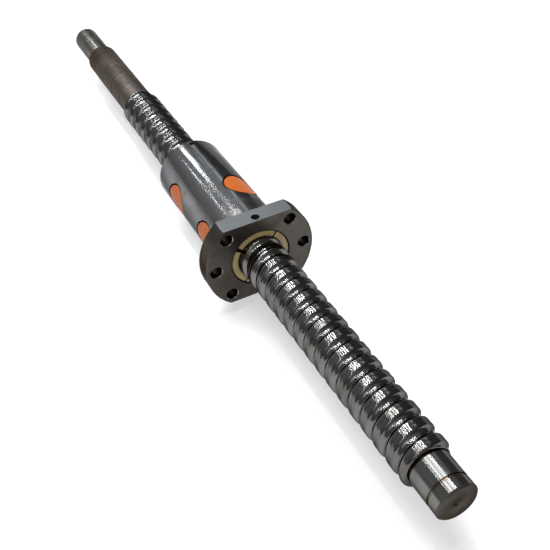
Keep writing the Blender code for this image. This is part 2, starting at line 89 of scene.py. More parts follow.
# Balls and their raceways
BALL_RADIUS = 2.381 * MM
BALL_CIRCLE = 13.1 * MM
GROOVE_RADIUS = BALL_RADIUS + 0.25 * MM
ROLLED_GROOVE_RADIUS = 2.45 * MM
EDGE_ROUNDING = 0.9 * MM
THREAD_ROOT = 9.5 * MM
LEAD_ANGLE = math.atan2(LEAD, math.tau * BALL_CIRCLE)
CROSSOVER = math.radians(30)
BALL_ROW = 17
BALL_PITCH = 4.77 * MM

# Nut
NUT_RADIUS = 20 * MM
BORE_RADIUS = 12.9 * MM
FLANGE_RADIUS = 31 * MM
FLANGE_BACK = NUT_FRONT - 10 * MM
FLAT_HEIGHT = 24 * MM
BOLT_CIRCLE = 25.5 * MM
BOLT_RADIUS = 3.3 * MM
BOLT_ANGLES = [math.radians(a) for a in (-45, 0, 45, 135, 180, 225)]
PORT_RADIUS = 2.1 * MM
PORT_THREAD_RADIUS = 2.45 * MM
PORT_PITCH = 0.8 * MM
PORT_DEPTH = 4 * MM
PORT_X = FLANGE_BACK + 6.5 * MM
PASSAGE_RADIUS = 1.0 * MM
PASSAGE_SLOPE = math.radians(62.4)

# Return inserts, counted from the rear of the nut
INSERT_RADIUS = 9.35 * MM
INSERT_HOLE_RADIUS = 10.35 * MM
INSERT_TOP = NUT_RADIUS - 0.2 * MM
CIRCUITS = 4
INSERT_STEP = 4 / 3
INSERTS_MIDDLE = (NUT_REAR + NUT_FRONT) / 2 - 1.5 * MM
FIRST_INSERT = INSERTS_MIDDLE - 1.5 * INSERT_STEP * LEAD
CREST_X = FIRST_INSERT

# Wipers
POCKET_RADIUS = 17 * MM
POCKET_DEPTH = 6 * MM
WIPER_RADIUS = 16.5 * MM
WIPER_END_GAP = 0.3 * MM
LIP_CLEARANCE = 0.3 * MM
SLIT_ANGLE = math.radians(52.5)
SLIT_WIDTHS = (1.1 * MM, 2.5 * MM, 1.0 * MM, 1.2 * MM)
WIPER_QUARTERS = len(SLIT_WIDTHS)
SPRING_DEPTH = 1.9 * MM
SPRING_RADIUS = 15.75 * MM
SPRING_COIL_RADIUS = 0.45 * MM
SPRING_WIRE_RADIUS = 0.13 * MM
SPRING_COILS = 132
STEPS_PER_COIL = 10

# Set screw
SET_SCREW_X = NUT_REAR + 3.9 * MM
SET_SCREW_ANGLE = math.radians(87)
SET_SCREW_RADIUS = 1.3 * MM
SET_SCREW_TIP = 16.8 * MM
SET_SCREW_TOP = 19.4 * MM
SOCKET_RADIUS = 0.75 * MM
SOCKET_DEPTH = 1.2 * MM

# Camera, fitted to the photograph
CAMERA_PLACE = Vector((380.7, -138.5, 290.9)) * MM
CAMERA_AIM = Vector((39.1, 18.3, -38.8)) * MM
CAMERA_ROLL = math.radians(-3.8)
CAMERA_LENS = 56.51
CAMERA_SENSOR = 36.0

# Points closer than this are one
WELD = 0.002 * MM


# Shapes

def on_axis_ring(x, radius, angle):
    return Vector((x, radius * math.cos(angle), radius * math.sin(angle)))


def spin_x(bm, geom, angle, steps, rise=0.0, close=False):
    """Spin vertices and edges about the screw's axis, rising by so much at each step."""
    bmesh.ops.spin(
        bm, geom=geom, cent=(0, 0, 0), axis=(1, 0, 0), dvec=(rise, 0, 0),
        angle=angle, steps=steps, use_merge=close
    )
    bmesh.ops.remove_doubles(bm, verts=bm.verts, dist=WELD)


def outline_chain(bm, profile, angle=0.0):
    """An (x, radius) outline as a chain of edges in the plane through the axis at that angle."""
    verts = [bm.verts.new(on_axis_ring(x, radius, angle)) for x, radius in profile]
    return verts + [bm.edges.new(pair) for pair in zip(verts, verts[1:])]


def turned(profile, steps=128):
    """A closed solid of revolution about the screw's axis."""
    bm = bmesh.new()
    spin_x(bm, outline_chain(bm, profile), math.tau, steps, close=True)
    return bm


def moved(bm, matrix):
    bmesh.ops.transform(bm, matrix=matrix, verts=bm.verts)
    return bm


def stood_at(bm, place, direction):
    """Stand a solid that was turned about X at a place, with its +X along a direction."""
    return moved(bm, Matrix.Translation(place) @ direction.to_track_quat("X", "Z").to_matrix().to_4x4())


def standing_out(bm, x, radius, angle):
    """Stand such a solid at a place off the axis, pointing straight out from it."""
    return stood_at(bm, on_axis_ring(x, radius, angle), on_axis_ring(0, 1, angle))


def rod(length, radius, steps=48):
    return turned([(0, 0), (0, radius), (length, radius), (length, 0)], steps)


def merged(solids):
    """Separate solids in one bmesh."""
    whole = bmesh.new()
    for bm in solids:
        mesh = bpy.data.meshes.new("part")
        bm.to_mesh(mesh)
        bm.free()
        whole.from_mesh(mesh)
        bpy.data.meshes.remove(mesh)
    return whole


def repeated(bm, matrices):
    """Copies of a small solid, one for each matrix, in one bmesh."""
    mesh = bpy.data.meshes.new("unit")
    bm.to_mesh(mesh)
    bm.free()
    whole = bmesh.new()
    for matrix in matrices:
        copy = mesh.copy()
        copy.transform(matrix)
        whole.from_mesh(copy)
        bpy.data.meshes.remove(copy)
    bpy.data.meshes.remove(mesh)
    return whole


def sliced(bm, place, normal, clear=False):
    """Cut a bmesh along a plane, and clear what lies beyond it if that is asked."""
    return bmesh.ops.bisect_plane(
        bm, geom=bm.verts[:] + bm.edges[:] + bm.faces[:], dist=WELD / 10,
        plane_co=place, plane_no=normal, clear_outer=clear
    )


def helical(profile, pitch, first, start, end, steps):
    """A closed threaded bar.

    The profile is one pitch long, and a turn of it begins at first, where the angle is half a turn.
    """
    first -= pitch * (math.ceil((first - start) / pitch) + 1)
    turns = math.ceil((end - first) / pitch) + 1
    turn = bmesh.new()
    chain = outline_chain(turn, [(first + x, radius) for x, radius in profile], math.pi)
    spin_x(turn, chain, math.tau, steps, rise=pitch / steps)
    bm = repeated(turn, [Matrix.Translation((pitch * i, 0, 0)) for i in range(turns)])
    bmesh.ops.remove_doubles(bm, verts=bm.verts, dist=WELD)
    for x, side in ((start, -1), (end, 1)):
        sliced(bm, (x, 0, 0), (side, 0, 0), clear=True)
        rim = [e for e in bm.edges if e.is_boundary and all(abs(v.co.x - x) < WELD for v in e.verts)]
        bmesh.ops.contextual_create(bm, geom=rim)
    return bm


def blend_corner(before, corner, after, count):
    """Points that round a corner, without its two ends."""
    points = []
    for i in range(1, count):
        t = i / count
        a, b, c = (1 - t) ** 2, 2 * t * (1 - t), t * t
        points.append(tuple(a * p + b * q + c * r for p, q, r in zip(before, corner, after)))
    return points


def thread_profile(land, groove, side=-1, arc_steps=12, seam=0.0):
    """One lead of the raceway thread, from the middle of a crest to the middle of the next.

    side -1 sinks the ball groove, side +1 raises it for a tool that cuts the nut. seam is the depth of
    the fine line that rolling leaves along the middle of the crest.
    """
    edge = math.asin(side * (land - BALL_CIRCLE) / groove)
    arc = []
    for i in range(arc_steps + 1):
        a = edge + (math.pi - 2 * edge) * i / arc_steps
        x = LEAD / 2 - groove * math.cos(a) / math.cos(LEAD_ANGLE)
        arc.append((x, BALL_CIRCLE + side * groove * math.sin(a)))
    corner = arc[0]
    crest = [
        (0.0, land - seam),
        (0.12 * MM, land - 0.5 * seam),
        (0.3 * MM, land - 0.1 * seam),
        (0.7 * MM, land),
        (corner[0] - EDGE_ROUNDING, land),
    ]
    rising = crest + blend_corner(crest[-1], corner, arc[2], 6) + arc[2:arc_steps // 2]
    falling = [(LEAD - x, radius) for x, radius in reversed(rising)]
    return rising + [arc[arc_steps // 2]] + falling


def loose(bm):
    """An unnamed helper object, for modifiers."""
    bmesh.ops.recalc_face_normals(bm, faces=bm.faces)
    mesh = bpy.data.meshes.new("helper")
    bm.to_mesh(mesh)
    bm.free()
    thing = bpy.data.objects.new("helper", mesh)
    bpy.context.scene.collection.objects.link(thing)
    return thing


def drop(thing):
    mesh = thing.data
    bpy.data.objects.remove(thing, do_unlink=True)
    bpy.data.meshes.remove(mesh)


def carved(solid, tools, operation="DIFFERENCE"):
    """Cut tools out of a solid, one after another."""
    base = loose(solid)
    cutters = [loose(tool) for tool in tools]
    for cutter in cutters:
        modifier = base.modifiers.new("cut", "BOOLEAN")
        modifier.operation = operation
        modifier.solver = "EXACT"
        modifier.object = cutter
    depsgraph = bpy.context.evaluated_depsgraph_get()
    mesh = bpy.data.meshes.new_from_object(base.evaluated_get(depsgraph))
    result = bmesh.new()
    result.from_mesh(mesh)
    bpy.data.meshes.remove(mesh)
    for thing in [base] + cutters:
        drop(thing)
    return result


def add_piece(name, bm, materials, body, replaces=(), sharp=35.0, pick=None):
    """A finished piece of the scene. pick chooses each face's material from its normal and centre."""
    bmesh.ops.recalc_face_normals(bm, faces=bm.faces)
    for face in bm.faces:
        face.smooth = True
        if pick:
            face.material_index = pick(face.normal, face.calc_center_median())
    limit = math.radians(sharp)
    for edge in bm.edges:
        one_finish = len({face.material_index for face in edge.link_faces}) == 1
        edge.smooth = one_finish and edge.calc_face_angle(0.0) < limit
    mesh = bpy.data.meshes.new(name)
    bm.to_mesh(mesh)
    bm.free()
    for material in materials:
        mesh.materials.append(material)
    thing = bpy.data.objects.new(name, mesh)
    bpy.context.scene.collection.objects.link(thing)
    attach(thing, body)
    if replaces:
        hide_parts(*replaces)
    return thing


# Shader groups and materials

# How fast turned lines change round the axis, for each metre
LINE_CHANGE = 30.0

# One turn of the bands on the middle journal
BAND_LEAD = 17 * MM


def new_group(name, inputs, outputs):
    """A node group. An input's default is None where it is a vector, and every output is a value."""
    tree = bpy.data.node_groups.new(name, "ShaderNodeTree")
    for label, default in inputs.items():
        kind = "NodeSocketVector" if default is None else "NodeSocketFloat"
        socket = tree.interface.new_socket(label, in_out="INPUT", socket_type=kind)
        if default is not None:
            socket.default_value = default
    for label in outputs:
        tree.interface.new_socket(label, in_out="OUTPUT", socket_type="NodeSocketFloat")
    return tree, tree.nodes.new("NodeGroupInput").outputs, tree.nodes.new("NodeGroupOutput").inputs


def feed(tree, socket, value):
    """Link a socket, or set its value."""
    if isinstance(value, bpy.types.NodeSocket):
        tree.links.new(value, socket)
    else:
        socket.default_value = value


def calc(tree, operation, *values):
    node = tree.nodes.new("ShaderNodeMath")
    node.operation = operation
    for socket, value in zip(node.inputs, values):
        feed(tree, socket, value)
    return node.outputs[0]


def times(tree, a, b):
    return calc(tree, "MULTIPLY", a, b)


def plus(tree, a, b):
    return calc(tree, "ADD", a, b)


def minus(tree, a, b):
    return calc(tree, "SUBTRACT", a, b)


def split_axes(tree, vector):
    node = tree.nodes.new("ShaderNodeSeparateXYZ")
    tree.links.new(vector, node.inputs[0])
    return node.outputs


def join(tree, x, y, z):
    node = tree.nodes.new("ShaderNodeCombineXYZ")
    for socket, value in zip(node.inputs, (x, y, z)):
        feed(tree, socket, value)
    return node.outputs[0]


def noise(tree, vector, scale, detail=3.0, roughness=0.55, distortion=0.0):
    node = tree.nodes.new("ShaderNodeTexNoise")
    values = {
        "Vector": vector, "Scale": scale, "Detail": detail, "Roughness": roughness, "Distortion": distortion
    }
    for label, value in values.items():
        feed(tree, node.inputs[label], value)
    return node.outputs["Fac"]


def between(tree, value, low, high, bottom=0.0, top=1.0):
    """Map a value from low..high to bottom..top, smoothly and clamped."""
    node = tree.nodes.new("ShaderNodeMapRange")
    node.interpolation_type = "SMOOTHSTEP"
    for label, number in {
        "Value": value, "From Min": low, "From Max": high, "To Min": bottom, "To Max": top
    }.items():
        feed(tree, node.inputs[label], number)
    return node.outputs["Result"]


def mix(tree, factor, a, b):
    node = tree.nodes.new("ShaderNodeMix")
    node.data_type = "RGBA"
    feed(tree, node.inputs["Factor"], factor)
    for socket, value in zip((node.inputs[6], node.inputs[7]), (a, b)):
        feed(tree, socket, (*value, 1.0) if isinstance(value, tuple) else value)
    return node.outputs[2]


def tinted(tree, colour, mask, amount, tone):
    """Lay a tone over a colour where a mask is, by no more than the amount."""
    return mix(tree, times(tree, mask, amount), colour, tone)


def place_group(tree, group, **values):
    node = tree.nodes.new("ShaderNodeGroup")
    node.node_tree = group
    for label, value in values.items():
        feed(tree, node.inputs[label.replace("_", " ")], value)
    return node.outputs


def make_axis_group():
    """Where a point is on a turned piece: along the axis, round it and out from it."""
    tree, given, out = new_group("turned coordinates", {"Vector": None}, ("Along", "Turn", "Radius"))
    x, y, z = split_axes(tree, given["Vector"])
    angle = calc(tree, "ARCTAN2", z, y)
    radius = calc(tree, "SQRT", plus(tree, times(tree, y, y), times(tree, z, z)))
    tree.links.new(x, out["Along"])
    tree.links.new(calc(tree, "DIVIDE", angle, math.tau), out["Turn"])
    tree.links.new(radius, out["Radius"])
    return tree


def make_thread_group(axis):
    """How far a point is from the middle of the crest, in leads from -0.5 to 0.5."""
    tree, given, out = new_group(
        "thread phase", {"Vector": None, "Crest At": 0.0, "Lead": LEAD}, ("From Crest",)
    )
    place = place_group(tree, axis, Vector=given["Vector"])
    leads = calc(tree, "DIVIDE", minus(tree, place["Along"], given["Crest At"]), given["Lead"])
    phase = minus(tree, leads, place["Turn"])
    wrapped = calc(tree, "FRACT", plus(tree, phase, 0.5))
    tree.links.new(minus(tree, wrapped, 0.5), out["From Crest"])
    return tree


def make_lines_group(axis):
    """Fine lines that run round the axis, as turning, grinding and rolling leave them."""
    tree, given, out = new_group(
        "turning lines", {"Vector": None, "Fineness": 1.0, "Slant": 0.0}, ("Lines",)
    )
    place = place_group(tree, axis, Vector=given["Vector"])
    y, z = split_axes(tree, given["Vector"])[1:]
    along = minus(tree, place["Along"], times(tree, place["Turn"], given["Slant"]))
    across = times(tree, along, given["Fineness"])
    drawn_out = join(tree, across, times(tree, y, LINE_CHANGE), times(tree, z, LINE_CHANGE))
    tree.links.new(noise(tree, drawn_out, 1.0, 4.0, 0.7), out["Lines"])
    return tree


def make_waves_group():
    """The slight waves of a rolled or ground surface, which break up what it mirrors."""
    tree, given, out = new_group(
        "surface waves", {"Vector": None, "Size": 0.001, "Stretch": 1.0}, ("Waves",)
    )
    x, y, z = split_axes(tree, given["Vector"])
    scale = calc(tree, "DIVIDE", 1.0, given["Size"])
    along = times(tree, x, calc(tree, "DIVIDE", scale, given["Stretch"]))
    stretched = join(tree, along, times(tree, y, scale), times(tree, z, scale))
    tree.links.new(noise(tree, stretched, 1.0, 1.0, 0.5), out["Waves"])
    return tree


def make_smudge_group():
    """Uneven patches of oil film, stain and handling, from 0 to 1, and small dark specks."""
    tree, given, out = new_group(
        "smudges", {"Vector": None, "Size": 0.02, "Amount": 0.5}, ("Patches", "Specks")
    )
    scale = calc(tree, "DIVIDE", 1.0, given["Size"])
    broad = noise(tree, given["Vector"], scale, 5.0, 0.6, 0.6)
    middle = plus(tree, 0.42, times(tree, minus(tree, 1.0, given["Amount"]), 0.3))
    patches = between(tree, broad, minus(tree, middle, 0.12), plus(tree, middle, 0.12))
    tree.links.new(patches, out["Patches"])
    small = noise(tree, given["Vector"], times(tree, scale, 14.0), 2.0, 0.5)
    tree.links.new(between(tree, small, 0.70, 0.78), out["Specks"])
    return tree


GROUPS = {}


def make_groups():
    GROUPS["axis"] = make_axis_group()
    GROUPS["thread"] = make_thread_group(GROUPS["axis"])
    GROUPS["lines"] = make_lines_group(GROUPS["axis"])
    GROUPS["smudge"] = make_smudge_group()
    GROUPS["waves"] = make_waves_group()


def new_material(name, metallic, roughness):
    """A material's tree, its shader and the object's coordinates."""
    material = bpy.data.materials.new(name)
    material.use_nodes = True
    tree = material.node_tree
    shader = tree.nodes["Principled BSDF"]
    shader.inputs["Metallic"].default_value = metallic
    shader.inputs["Roughness"].default_value = roughness
    if metallic:
        shader.inputs["Specular Tint"].default_value = (0.28, 0.28, 0.28, 1.0)
    vector = tree.nodes.new("ShaderNodeTexCoord").outputs["Object"]
    return material, tree, shader, vector


def finish_material(tree, shader, colour, roughness, *reliefs):
    """Link what a finish changes. Each relief is a height and its depth in metres."""
    tree.links.new(colour, shader.inputs["Base Color"])
    tree.links.new(roughness, shader.inputs["Roughness"])
    normal = None
    for height, depth in reliefs:
        bump = tree.nodes.new("ShaderNodeBump")
        bump.inputs["Strength"].default_value = 1.0
        bump.inputs["Distance"].default_value = depth
        tree.links.new(height, bump.inputs["Height"])
        if normal:
            tree.links.new(normal, bump.inputs["Normal"])
        normal = bump.outputs["Normal"]
    if normal:
        tree.links.new(normal, shader.inputs["Normal"])


def rolled_steel():
    """Polished rolled thread: bright crests with a dark seam, browner grooves, an oily film."""
    material, tree, shader, vector = new_material("rolled_steel", 1.0, 0.2)
    phase = place_group(tree, GROUPS["thread"], Vector=vector, Crest_At=CREST_X)["From Crest"]
    away = calc(tree, "ABSOLUTE", phase)
    lines = place_group(tree, GROUPS["lines"], Vector=vector, Fineness=9000.0, Slant=LEAD)["Lines"]
    smudge = place_group(tree, GROUPS["smudge"], Vector=vector, Size=0.016, Amount=0.45)
    groove = between(tree, away, 0.22, 0.30)
    colour = mix(tree, groove, (0.157, 0.156, 0.152), (0.135, 0.131, 0.126))
    colour = tinted(tree, colour, smudge["Patches"], 0.45, (0.076, 0.067, 0.059))
    streak = between(tree, lines, 0.50, 0.75)
    colour = tinted(tree, colour, streak, 0.2, (0.054, 0.048, 0.043))
    seam = between(tree, away, 0.007, 0.020, 1.0, 0.0)
    colour = mix(tree, seam, colour, (0.019, 0.014, 0.013))
    to_shoulder = calc(tree, "ABSOLUTE", minus(tree, away, 0.255))
    shoulder_line = between(tree, to_shoulder, 0.004, 0.014, 0.55, 0.0)
    colour = mix(tree, shoulder_line, colour, (0.054, 0.043, 0.038))
    clean = between(tree, groove, 0.0, 1.0, 0.080, 0.070)
    roughness = plus(tree, clean, times(tree, smudge["Patches"], 0.08))
    waves = place_group(tree, GROUPS["waves"], Vector=vector, Size=2.0 * MM, Stretch=1.2)["Waves"]
    finish_material(tree, shader, colour, roughness, (lines, 0.0012 * MM), (waves, 0.08 * MM))
    return material


def ground_steel():
    """The nut's ground barrel: bluish bright steel with grinding lines, smudges, specks and a stain."""
    material, tree, shader, vector = new_material("ground_steel", 1.0, 0.25)
    lines = place_group(tree, GROUPS["lines"], Vector=vector, Fineness=5000.0)["Lines"]
    smudge = place_group(tree, GROUPS["smudge"], Vector=vector, Size=0.022, Amount=0.5)
    colour = mix(tree, lines, (0.174, 0.176, 0.18), (0.256, 0.26, 0.264))
    colour = tinted(tree, colour, smudge["Patches"], 0.55, (0.146, 0.137, 0.122))
    colour = mix(tree, smudge["Specks"], colour, (0.083, 0.076, 0.069))
    spot = tree.nodes.new("ShaderNodeVectorMath")
    spot.operation = "DISTANCE"
    feed(tree, spot.inputs[0], vector)
    spot.inputs[1].default_value = on_axis_ring(FLANGE_BACK - 7 * MM, NUT_RADIUS, math.radians(108))
    ragged = plus(tree, spot.outputs["Value"], times(tree, noise(tree, vector, 260.0, 2.0), 7 * MM))
    stain = between(tree, ragged, 7.5 * MM, 8.5 * MM, 1.0, 0.0)
    colour = tinted(tree, colour, stain, 0.55, (0.104, 0.097, 0.086))
    roughness = plus(tree, 0.12, times(tree, calc(tree, "MAXIMUM", smudge["Patches"], stain), 0.19))
    waves = place_group(tree, GROUPS["waves"], Vector=vector, Size=4 * MM, Stretch=4.0)["Waves"]
    finish_material(tree, shader, colour, roughness, (lines, 0.001 * MM), (waves, 0.07 * MM))
    return material


def turned_face():
    """The flange's dark turned faces, with faint rings and a brown cast."""
    material, tree, shader, vector = new_material("turned_face", 1.0, 0.4)
    place = place_group(tree, GROUPS["axis"], Vector=vector)
    rings = noise(tree, join(tree, times(tree, place["Radius"], 3500.0), 0.0, 0.0), 1.0, 3.0, 0.6)
    smudge = place_group(tree, GROUPS["smudge"], Vector=vector, Size=0.014, Amount=0.5)
    colour = mix(tree, rings, (0.064, 0.057, 0.05), (0.097, 0.087, 0.077))
    colour = tinted(tree, colour, smudge["Patches"], 0.5, (0.05, 0.042, 0.035))
    colour = tinted(tree, colour, smudge["Specks"], 0.6, (0.062, 0.056, 0.05))
    roughness = between(tree, smudge["Patches"], 0.0, 1.0, 0.36, 0.48)
    finish_material(tree, shader, colour, roughness, (rings, 0.02 * MM))
    return material


def milled_flat():
    """The flange's flats, milled and lightly stoned: paler, with straight marks across."""
    material, tree, shader, vector = new_material("milled_flat", 1.0, 0.45)
    x, y = split_axes(tree, vector)[:2]
    across = join(tree, times(tree, x, 4000.0), times(tree, y, 60.0), 0.0)
    marks = noise(tree, across, 1.0, 3.0, 0.6)
    smudge = place_group(tree, GROUPS["smudge"], Vector=vector, Size=0.012, Amount=0.45)
    colour = mix(tree, marks, (0.144, 0.153, 0.155), (0.197, 0.207, 0.208))
    colour = tinted(tree, colour, smudge["Patches"], 0.4, (0.111, 0.113, 0.108))
    colour = tinted(tree, colour, smudge["Specks"], 0.7, (0.087, 0.076, 0.067))
    roughness = between(tree, smudge["Patches"], 0.0, 1.0, 0.28, 0.38)
    finish_material(tree, shader, colour, roughness, (marks, 0.006 * MM))
    return material


def journal_steel(name, pale, dark, rust_places, shine, relief):
    """A turned journal. rust_places are (x, half width, strength) of brown rings."""
    material, tree, shader, vector = new_material(name, 1.0, shine)
    place = place_group(tree, GROUPS["axis"], Vector=vector)
    lines = place_group(tree, GROUPS["lines"], Vector=vector, Fineness=7000.0)["Lines"]
    smudge = place_group(tree, GROUPS["smudge"], Vector=vector, Size=0.012, Amount=0.5)
    colour = mix(tree, lines, dark, pale)
    colour = tinted(tree, colour, smudge["Patches"], 0.3, tuple(0.6 * c for c in dark))
    for x, half_width, strength in rust_places:
        away = calc(tree, "ABSOLUTE", minus(tree, place["Along"], x))
        rust = between(tree, away, half_width * 0.3, half_width, strength, 0.0)
        streaky = times(tree, rust, between(tree, lines, 0.2, 0.7, 0.6, 1.0))
        colour = mix(tree, streaky, colour, (0.105, 0.074, 0.047))
    roughness = plus(tree, shine, times(tree, smudge["Patches"], 0.12))
    finish_material(tree, shader, colour, roughness, (lines, relief))
    return material


def middle_journal_steel():
    """The dull middle journal: brown-grey, with slanting bands from turning."""
    material, tree, shader, vector = new_material("dull_journal_steel", 1.0, 0.42)
    place = place_group(tree, GROUPS["axis"], Vector=vector)
    bands = place_group(tree, GROUPS["thread"], Vector=vector, Crest_At=FAR_SHOULDER, Lead=BAND_LEAD)
    phase = bands["From Crest"]
    trace = between(tree, phase, 0.34, 0.495)
    bright_edge = between(tree, phase, -0.5, -0.40, 1.0, 0.0)
    lines = place_group(tree, GROUPS["lines"], Vector=vector, Fineness=6000.0)["Lines"]
    smudge = place_group(tree, GROUPS["smudge"], Vector=vector, Size=0.015, Amount=0.5)
    colour = mix(tree, lines, (0.116, 0.102, 0.092), (0.178, 0.159, 0.14))
    brown = between(tree, place["Along"], FAR_SHOULDER, FAR_SHOULDER + 30 * MM, 0.85, 0.15)
    patchy = times(tree, brown, between(tree, smudge["Patches"], 0.0, 1.0, 0.55, 1.0))
    colour = mix(tree, patchy, colour, (0.102, 0.064, 0.043))
    colour = tinted(tree, colour, trace, 0.8, (0.062, 0.047, 0.036))
    colour = tinted(tree, colour, bright_edge, 0.6, (0.274, 0.26, 0.246))
    roughness = between(tree, smudge["Patches"], 0.0, 1.0, 0.42, 0.55)
    finish_material(tree, shader, colour, roughness, (lines, 0.02 * MM))
    return material


def end_face_steel():
    """The screw's sawn and faced ends, matt and dark."""
    material, tree, shader, vector = new_material("end_face_steel", 1.0, 0.5)
    place = place_group(tree, GROUPS["axis"], Vector=vector)
    rings = noise(tree, join(tree, times(tree, place["Radius"], 5000.0), 0.0, 0.0), 1.0, 3.0, 0.6)
    smudge = place_group(tree, GROUPS["smudge"], Vector=vector, Size=0.008, Amount=0.5)
    colour = mix(tree, rings, (0.073, 0.064, 0.056), (0.112, 0.099, 0.087))
    colour = tinted(tree, colour, smudge["Patches"], 0.5, (0.07, 0.059, 0.05))
    roughness = between(tree, smudge["Patches"], 0.0, 1.0, 0.46, 0.58)
    finish_material(tree, shader, colour, roughness, (rings, 0.03 * MM))
    return material


def orange_plastic():
    """Moulded orange plastic, with grease specks."""
    material, tree, shader, vector = new_material("orange_plastic", 0.0, 0.42)
    shader.inputs["Specular IOR Level"].default_value = 0.12
    smudge = place_group(tree, GROUPS["smudge"], Vector=vector, Size=0.007, Amount=0.35)
    grain = noise(tree, vector, 2500.0, 2.0, 0.5)
    colour = mix(tree, noise(tree, vector, 90.0, 3.0), (0.371, 0.081, 0.011), (0.459, 0.107, 0.017))
    colour = tinted(tree, colour, smudge["Patches"], 0.16, (0.328, 0.076, 0.022))
    colour = tinted(tree, colour, smudge["Specks"], 0.55, (0.066, 0.033, 0.022))
    roughness = between(tree, smudge["Patches"], 0.0, 1.0, 0.46, 0.58)
    finish_material(tree, shader, colour, roughness, (grain, 0.01 * MM))
    return material


def tan_plastic():
    """The wipers' tan plastic, with painted shade towards the screw and a painted dark rim for the shadowed
    gap round it.
    """
    material, tree, shader, vector = new_material("tan_plastic", 0.0, 0.5)
    place = place_group(tree, GROUPS["axis"], Vector=vector)
    smudge = place_group(tree, GROUPS["smudge"], Vector=vector, Size=0.006, Amount=0.5)
    grain = noise(tree, vector, 1800.0, 2.0, 0.5)
    colour = mix(tree, noise(tree, vector, 160.0, 4.0), (0.393, 0.288, 0.112), (0.562, 0.428, 0.183))
    # Painted shade: darker towards the screw, where the wiper's inner edge sits in shadow.
    painted_shade_near_screw = between(tree, place["Radius"], 13.0 * MM, 13.7 * MM, 0.85, 0.0)
    colour = mix(tree, painted_shade_near_screw, colour, (0.084, 0.059, 0.037))
    colour = tinted(tree, colour, smudge["Patches"], 0.30, (0.309, 0.211, 0.084))
    # Painted shade: a near-black band at the outer rim and the walls beyond it, for the shadowed gap
    # between wiper and pocket.
    painted_rim_shade = between(tree, place["Radius"], 15.95 * MM, 16.10 * MM, 0.0, 0.92)
    colour = mix(tree, painted_rim_shade, colour, (0.02, 0.014, 0.011))
    roughness = between(tree, smudge["Patches"], 0.0, 1.0, 0.42, 0.56)
    finish_material(tree, shader, colour, roughness, (grain, 0.02 * MM))
    return material


def plain_finish(name, pale, dark, shine, metallic=1.0):
    """Small parts and hidden walls: balls, springs, the set screw, and near-black painted shade in holes
    and gaps.
    """
    material, tree, shader, vector = new_material(name, metallic, shine)
    cloud = noise(tree, vector, 700.0, 4.0)
    colour = mix(tree, cloud, dark, pale)
    roughness = between(tree, cloud, 0.2, 0.8, shine, shine + 0.12)
    finish_material(tree, shader, colour, roughness, (cloud, 0.004 * MM))
    return material


# Screw

def screw_thread():
    """The rolled thread, with its two end faces broken by a rounded chamfer."""
    profile = thread_profile(SCREW_RADIUS, ROLLED_GROOVE_RADIUS, seam=0.10 * MM)
    bm = helical(profile, LEAD, CREST_X, THREAD_START, THREAD_END, 60)
    rounding = 1.8 * MM
    for share in (0.0, 0.15, 0.35, 0.6, 1.0):
        for x in (THREAD_START + share * rounding, THREAD_END - share * rounding):
            if share:
                sliced(bm, (x, 0, 0), (1, 0, 0))
    for vert in bm.verts:
        inside = min(vert.co.x - THREAD_START, THREAD_END - vert.co.x) / rounding
        if inside < 1.0:
            most = SCREW_RADIUS - rounding * (1 - math.sqrt(max(1 - (1 - inside) ** 2, 0.0)))
            out = vert.co.yz.length
            if out > most:
                vert.co.yz *= most / out
    return bm


def far_journals():
    """The 17 mm and 21 mm journals beyond the thread."""
    sunk = 3 * MM
    edge = CHAMFER / 2
    return turned([
        (FAR_END + 5.2 * MM, 0),
        (FAR_END + 5.0 * MM, CENTRE_PILOT_RADIUS),
        (FAR_END + 2.2 * MM, CENTRE_PILOT_RADIUS),
        (FAR_END, CENTRE_DRILL_RADIUS),
        (FAR_END, FAR_RADIUS - CHAMFER),
        (FAR_END + 0.15 * MM, FAR_RADIUS - 0.6 * CHAMFER),
        (FAR_END + CHAMFER, FAR_RADIUS - 0.1 * MM),
        (FAR_END + 1.4 * CHAMFER, FAR_RADIUS),
        (FAR_SHOULDER - 0.3 * MM, FAR_RADIUS),
        (FAR_SHOULDER, FAR_RADIUS + 0.3 * MM),
        (FAR_SHOULDER, MIDDLE_RADIUS - edge),
        (FAR_SHOULDER + 0.1 * MM, MIDDLE_RADIUS - 0.5 * edge),
        (FAR_SHOULDER + edge, MIDDLE_RADIUS),
        (THREAD_START + 0.3 * MM, MIDDLE_RADIUS),
        (THREAD_START + 0.3 * MM, THREAD_ROOT),
        (THREAD_START + sunk, THREAD_ROOT),
        (THREAD_START + sunk, 0),
    ])


